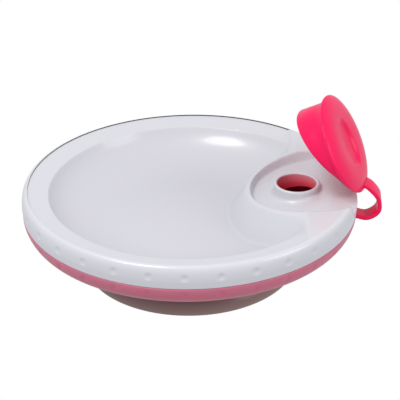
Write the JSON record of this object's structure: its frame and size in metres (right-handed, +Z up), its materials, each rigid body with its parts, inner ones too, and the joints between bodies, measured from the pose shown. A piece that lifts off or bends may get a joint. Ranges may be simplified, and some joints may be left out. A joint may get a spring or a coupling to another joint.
{
  "type": "suction bowl",
  "caption": "Round feeding bowl with a warm-water chamber, side filler neck, flip cap on a soft strap and a suction base.",
  "frame": {"origin": "on the table at the bowl's axis", "axes": "+Z up along the bowl's axis, +X from the axis towards the filler neck and the cap"},
  "size_m": [0.2042, 0.19, 0.0969],
  "materials": {
    "white_shell": "glossy white moulded plastic",
    "pink_shell": "muted pink moulded plastic, slightly translucent",
    "smoke_cup": "smoky translucent soft rubber",
    "hot_pink": "glossy hot pink flexible plastic"
  },
  "bodies": {
    "bowl": {"bowl_shell": "white_shell", "lower_shell": "pink_shell", "suction_cup": "smoke_cup", "strap_anchor": "hot_pink", "cap_strap": "hot_pink"},
    "cap": {"cap_lid": "hot_pink", "cap_plug": "hot_pink"}
  },
  "joints": [
    {"name": "cap_hinge", "type": "hinge", "parent": "bowl", "child": "cap", "pos_m": [0.0981, 0, 0.0436], "axis": [0.1264, 0.9393, -0.3189], "range_deg": [-53.2, 40], "stiffness_Nm_per_rad": 0.02, "springref_deg": 5.16, "deforming": ["cap_strap"]}
  ]
}
